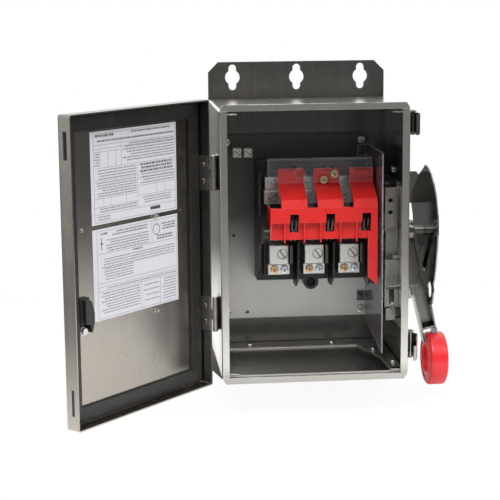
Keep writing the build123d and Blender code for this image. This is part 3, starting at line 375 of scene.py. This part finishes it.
WEARS = {
    "wrap": ["box_wrap", "corner_gussets", "latch_brackets"],
    "floor": ["floor_plate"],
    "leaf": ["box_hinge_leaves", "door_hinge_leaves"],
    "rivet": ["door_leaf_rivets"],
    "oxide": ["base_screws"],
    "zinc": ["tab_screws_zinc"],
    "back": ["back_panel"],
    "door": ["door_pan"],
    "bright": ["handle_disc", "handle_shroud", "latch_lever_upper", "latch_lever_lower"],
    "arm": ["handle_arm"],
    "plate": ["mounting_plate"],
    "mech": ["mech_frame", "interlock_plate", "interlock_hook", "spring_wires", "toggle_spring",
             "rotor_crank", "drive_crank"],
    "dull": ["handle_shaft", "shaft_bushing", "defeat_rod", "side_shield_screws"],
    "hard": ["floor_screws", "hinge_pins", "latch_pins", "plate_screws", "door_studs", "catch_bolt",
             "mech_screws", "hook_pin", "shroud_screws", "disc_bolt"],
    "lug": ["ground_lugs", "ground_screws", "line_lugs", "line_lug_screws", "load_lugs", "load_lug_screws",
            "load_tabs"],
    "copper": ["tab_screws_copper"],
    "blade": ["line_contacts", "load_contacts", "rotor_blades"],
    "yellow": ["line_shield_screws"],
    "black": ["switch_base", "interlock_catch"],
    "bar": ["rotor_bar"],
    "red": ["red_cover"],
    "grip": ["grip_ring"],
    "foam": ["door_gasket"],
    "paper": ["door_label_upper", "door_label_lower"],
    "clear": ["line_shield"],
    "tint": ["side_shield"],
}
worn = set()
for key, names in WEARS.items():
    for name in names:
        obj = NODES[name]
        obj.data.materials.clear()
        obj.data.materials.append(MATS[key])
        worn.add(name)
for name in NODES:
    if name not in worn:
        raise SystemExit("no material for " + name)


# ------------------------------------------------------------------ label print
def print_label(name, blocks, seed):
    """Ruled lines, boxes and word-length dashes, no lettering; mm on the closed door."""
    rng = random.Random(seed)
    y = LABEL_FACE + INK_GAP
    mesh = bpy.data.meshes.new(name)
    bm = bmesh.new()

    def quad(a, b, c, d, which):
        pts = [(a, c), (b, c), (b, d), (a, d)]
        verts = [bm.verts.new(DOOR @ Vector((u / 1000, y / 1000, z / 1000))) for u, z in pts]
        face = bm.faces.new(verts)
        face.material_index = which

    def rule(a, b, z, t=0.28, which=0):
        quad(a, b, z - t / 2, z + t / 2, which)

    def upright(u, a, b, t=0.28, which=0):
        quad(u - t / 2, u + t / 2, a, b, which)

    def words(a, b, z, h, which=1, ragged=0.1):
        u = a
        end = b - (b - a) * rng.random() * ragged
        while u < end:
            w = min(rng.uniform(1.2, 5.2), end - u)
            # each word is a run of small separate strokes
            v = u
            while v < u + w:
                s = min(rng.uniform(0.4, 0.9), u + w - v)
                quad(v, v + s, z - h * 0.62, z + h * 0.62, which)
                v += s + 0.22
            u += w + 0.9

    for kind, *rest in blocks:
        if kind == "frame":
            a, b, c, d = rest
            rule(a, b, c)
            rule(a, b, d)
            upright(a, c, d)
            upright(b, c, d)
        elif kind == "rule":
            rule(*rest)
        elif kind == "upright":
            upright(*rest)
        elif kind == "text":
            a, b, top, bottom, step, h, which = rest
            z = top
            while z > bottom:
                words(a, b, z, h, which, 0.15)
                z -= step
        elif kind == "bar":
            a, b, c, d, which = rest
            quad(a, b, c, d, which)
        elif kind == "ring":
            u, z, r, t = rest
            for i in range(RING_SIDES):
                a0, a1 = i * math.tau / RING_SIDES, (i + 1) * math.tau / RING_SIDES
                corners = ((r, a0), (r, a1), (r - t, a1), (r - t, a0))
                ring = [(u + k * math.cos(a), z + k * math.sin(a)) for k, a in corners]
                verts = [bm.verts.new(DOOR @ Vector((p / 1000, y / 1000, q / 1000))) for p, q in ring]
                bm.faces.new(verts).material_index = 0
    # give the ink a little thickness so that it is a real skin
    faces = list(bm.faces)
    out = bmesh.ops.extrude_face_region(bm, geom=faces)
    lift = DOOR.to_3x3() @ Vector((0, INK_GAP / 1000, 0))
    bmesh.ops.translate(bm, vec=lift, verts=[v for v in out["geom"] if isinstance(v, bmesh.types.BMVert)])
    bm.normal_update()
    bm.to_mesh(mesh)
    bm.free()
    obj = bpy.data.objects.new(name, mesh)
    bpy.context.scene.collection.objects.link(obj)
    mesh.materials.append(MATS["ink"])
    mesh.materials.append(MATS["ink2"])
    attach(obj, "door")
    return obj


# u runs towards the free edge, so a reader sees it from large u to small u
UPPER = [
    ("frame", -68.5, 61.0, 45.5, 136.5),
    ("text", 30.0, 60.0, 134.0, 131.0, 4.0, 2.2, 0),
    ("text", -60.0, 10.0, 134.5, 131.0, 4.0, 1.4, 0),
    ("text", -66.0, 60.0, 128.5, 126.0, 4.0, 1.5, 0),
    ("rule", -68.5, 61.0, 124.6), ("rule", -68.5, 61.0, 120.8), ("upright", 18.5, 101.0, 124.6),
    ("rule", 18.5, 61.0, 117.5), ("upright", 51.5, 101.0, 120.8), ("upright", 39.0, 101.0, 117.5),
    ("upright", 26.5, 101.0, 117.5), ("text", 53.0, 60.0, 115.5, 102.5, 2.9, 1.0, 1),
    ("text", -66.5, 16.5, 122.7, 102.5, 2.9, 1.1, 1), ("rule", -68.5, 61.0, 101.0),
    ("upright", -6.0, 54.0, 101.0), ("text", -64.0, -9.0, 98.5, 91.0, 3.6, 1.9, 0),
    ("text", -66.5, -8.0, 88.0, 78.0, 3.0, 1.0, 1), ("rule", -68.5, -6.0, 84.4), ("rule", -68.5, -6.0, 76.5),
    ("upright", -37.0, 66.0, 76.5), ("upright", -50.5, 66.0, 76.5), ("rule", -68.5, -6.0, 66.0),
    ("text", -4.0, 58.0, 98.5, 89.5, 2.9, 1.0, 1), ("rule", -6.0, 61.0, 88.0),
    ("text", -4.0, 58.0, 85.8, 71.5, 2.7, 1.0, 1), ("rule", -6.0, 61.0, 70.0),
    ("upright", 47.0, 61.0, 70.0), ("upright", 36.0, 61.0, 70.0), ("upright", 12.0, 61.0, 70.0),
    ("rule", -6.0, 61.0, 61.0), ("text", -4.0, 58.0, 59.0, 55.0, 2.7, 1.0, 1), ("rule", -68.5, 61.0, 53.6),
    ("text", -60.0, -12.0, 63.5, 56.0, 2.7, 0.9, 1), ("bar", -42.0, -26.0, 48.6, 52.0, 0),
    ("text", 38.0, 58.0, 51.0, 47.0, 2.8, 1.0, 1),
]
LOWER = [
    ("frame", -68.5, 59.0, -54.5, 36.5),
    ("text", 43.0, 56.0, 33.4, 31.5, 4.0, 1.6, 0), ("text", -20.0, 36.0, 33.6, 28.0, 2.9, 1.1, 0),
    ("bar", 51.6, 52.6, 17.0, 29.5, 0), ("bar", 50.2, 53.8, 22.6, 24.0, 0),
    ("text", -22.0, 46.0, 26.0, 14.5, 2.8, 1.0, 1), ("upright", -27.5, 13.0, 36.5),
    ("ring", -35.0, 26.5, 6.0, 0.8), ("text", -66.0, -43.5, 31.5, 24.0, 2.8, 1.2, 0),
    ("text", -62.0, -34.0, 19.0, 14.5, 2.8, 1.3, 0), ("rule", -68.5, 59.0, 12.6),
    ("text", -12.0, 6.0, 10.4, 8.5, 3.0, 1.4, 0), ("text", -64.0, 54.0, 6.6, -2.0, 2.8, 0.9, 1),
    ("text", 4.0, 54.0, -3.8, -16.5, 2.7, 0.9, 1), ("rule", -68.5, 59.0, -18.2), ("rule", -68.5, 59.0, -21.8),
    ("rule", -68.5, 59.0, -26.4), ("text", -66.0, 56.0, -24.1, -25.5, 3.0, 1.0, 1),
    ("upright", -9.0, -54.5, -26.4), ("text", -6.0, 56.0, -29.0, -52.0, 2.9, 0.9, 1),
    ("upright", -40.0, -54.5, -26.4), ("text", -66.0, -43.0, -29.0, -52.0, 3.1, 0.9, 1),
    ("text", -38.0, -12.0, -31.0, -50.0, 5.5, 1.0, 1),
]
print_label("label_print_upper", UPPER, 11)
print_label("label_print_lower", LOWER, 23)


# ------------------------------------------------------------------ studio
FLOOR_Z = -0.1955        # just under the bottom flange
FLOOR_FRONT = -1.0       # front edge
FLOOR_HALF = 3.3         # half the side of the square


def softbox(name, place, aim, size, watts):
    light = bpy.data.lights.new(name, "AREA")
    light.shape = "RECTANGLE"
    light.size, light.size_y = size
    light.energy = watts
    obj = bpy.data.objects.new(name, light)
    obj.location = place
    obj.rotation_euler = (Vector(aim) - Vector(place)).to_track_quat("-Z", "Y").to_euler()
    bpy.context.scene.collection.objects.link(obj)


def floor():
    """Pale table top, dark beyond a metre; seen directly it is lit and fades into the white surround."""
    g = Graph("studio floor")
    place = g.separate(g.coords())
    across = g.math("POWER", place[0], 2.0)
    along = g.math("POWER", g.math("ADD", place[1], FLOOR_FRONT + FLOOR_HALF), 2.0)
    reach = g.math("POWER", g.math("ADD", across, along), 0.5)
    grain = g.noise(g.coords(), 40.0, 3.0)
    pale = g.mix((0.86, 0.86, 0.86), (0.92, 0.92, 0.92), grain)
    far = g.ramp(reach, [(0.40, 0.0), (0.95, 1.0)])
    g.set(Base_Color=g.mix(pale, (0.05, 0.05, 0.05), far), Roughness=0.9)
    glow = g.tree.nodes.new("ShaderNodeEmission")
    seen = g.tree.nodes.new("ShaderNodeLightPath")
    pick = g.tree.nodes.new("ShaderNodeMixShader")
    glow.inputs[0].default_value = (1.0, 1.0, 1.0, 1.0)
    fade = g.ramp(reach, [(0.25, 0.93), (0.7, 1.0)])
    g.link(g.math("MULTIPLY", seen.outputs["Is Camera Ray"], fade), pick.inputs[0])
    g.link(g.bsdf.outputs[0], pick.inputs[1])
    g.link(glow.outputs[0], pick.inputs[2])
    g.link(pick.outputs[0], g.out.inputs[0])
    mesh = bpy.data.meshes.new("floor")
    bm = bmesh.new()
    bmesh.ops.create_grid(bm, x_segments=8, y_segments=8, size=FLOOR_HALF)
    bm.to_mesh(mesh)
    bm.free()
    mesh.materials.append(g.mat)
    obj = bpy.data.objects.new("floor", mesh)
    obj.location = (0, FLOOR_FRONT + FLOOR_HALF, FLOOR_Z)
    bpy.context.scene.collection.objects.link(obj)


def world():
    """White to the eye; what the metal mirrors is bright behind and left, and dark in front and right."""
    w = bpy.data.worlds.new("studio")
    w.use_nodes = True
    tree = w.node_tree
    tree.nodes.clear()
    new, link = tree.nodes.new, tree.links.new
    out = new("ShaderNodeOutputWorld")
    coord = new("ShaderNodeTexCoord")
    split = new("ShaderNodeSeparateXYZ")
    link(coord.outputs["Generated"], split.inputs[0])

    def ramp(source, stops):
        remap = new("ShaderNodeMath")
        remap.operation = "MULTIPLY_ADD"
        remap.inputs[1].default_value = 0.5
        remap.inputs[2].default_value = 0.5
        link(source, remap.inputs[0])
        node = new("ShaderNodeValToRGB")
        node.color_ramp.interpolation = "EASE"
        while len(node.color_ramp.elements) < len(stops):
            node.color_ramp.elements.new(0.5)
        for element, (place, level) in zip(node.color_ramp.elements, stops):
            element.position = place
            element.color = (level, level, level, 1.0)
        link(remap.outputs[0], node.inputs[0])
        return node.outputs[0]

    turn = new("ShaderNodeVectorMath")
    turn.operation = "DOT_PRODUCT"
    turn.inputs[1].default_value = (-0.45, 0.89, 0.0)
    link(coord.outputs["Generated"], turn.inputs[0])
    depth = ramp(turn.outputs["Value"], [(0.0, 0.20), (0.25, 0.22), (0.5, 0.55), (0.65, 1.0), (1.0, 1.0)])
    height = ramp(split.outputs[2], [(0.0, 0.55), (0.40, 0.55), (0.52, 0.80), (0.70, 0.85), (1.0, 1.2)])
    both = new("ShaderNodeMix")
    both.data_type = "RGBA"
    both.blend_type = "MULTIPLY"
    both.inputs[0].default_value = 1.0
    link(depth, both.inputs[6])
    link(height, both.inputs[7])
    room = new("ShaderNodeBackground")
    room.inputs[1].default_value = 1.5
    link(both.outputs[2], room.inputs[0])
    plain = new("ShaderNodeBackground")
    plain.inputs[0].default_value = (1.0, 1.0, 1.0, 1.0)
    seen = new("ShaderNodeLightPath")
    pick = new("ShaderNodeMixShader")
    link(seen.outputs["Is Camera Ray"], pick.inputs[0])
    link(room.outputs[0], pick.inputs[1])
    link(plain.outputs[0], pick.inputs[2])
    link(pick.outputs[0], out.inputs[0])
    bpy.context.scene.world = w


CAMERA_PLACE = Vector((-0.22717, -1.72327, 0.28435))
CAMERA_YAW, CAMERA_PITCH, CAMERA_ROLL = 0.0985, 0.1814, -0.0087     # radians, from straight along +Y
CAMERA_LENS, CAMERA_SENSOR = 104.81472, 36.0                        # mm


def camera():
    level = math.cos(CAMERA_PITCH)
    ahead = Vector((math.sin(CAMERA_YAW) * level, math.cos(CAMERA_YAW) * level, -math.sin(CAMERA_PITCH)))
    right = Vector((math.cos(CAMERA_YAW), -math.sin(CAMERA_YAW), 0.0))
    up = right.cross(ahead)
    r = right * math.cos(CAMERA_ROLL) + up * math.sin(CAMERA_ROLL)
    u = up * math.cos(CAMERA_ROLL) - right * math.sin(CAMERA_ROLL)
    cam = bpy.data.cameras.new("camera")
    cam.sensor_width = CAMERA_SENSOR
    cam.lens = CAMERA_LENS
    cam.clip_start, cam.clip_end = 0.05, 60.0
    obj = bpy.data.objects.new("camera", cam)
    rot = Matrix((r, u, -ahead)).transposed()
    obj.matrix_world = Matrix.Translation(CAMERA_PLACE) @ rot.to_4x4()
    bpy.context.scene.collection.objects.link(obj)
    bpy.context.scene.camera = obj


floor()
world()
camera()
# name, place, aim, size in metres, watts
for box in (("key", (-0.35, -1.25, 1.75), (0, -0.1, 0), (1.3, 0.8), 42),
            ("side", (-2.0, -0.9, 0.3), (0, -0.1, 0), (0.5, 1.4), 10),
            ("fill", (1.5, -1.5, 1.5), (-0.1, -0.15, 0), (0.9, 0.7), 24)):
    softbox(*box)
bpy.context.scene.view_settings.view_transform = "Standard"
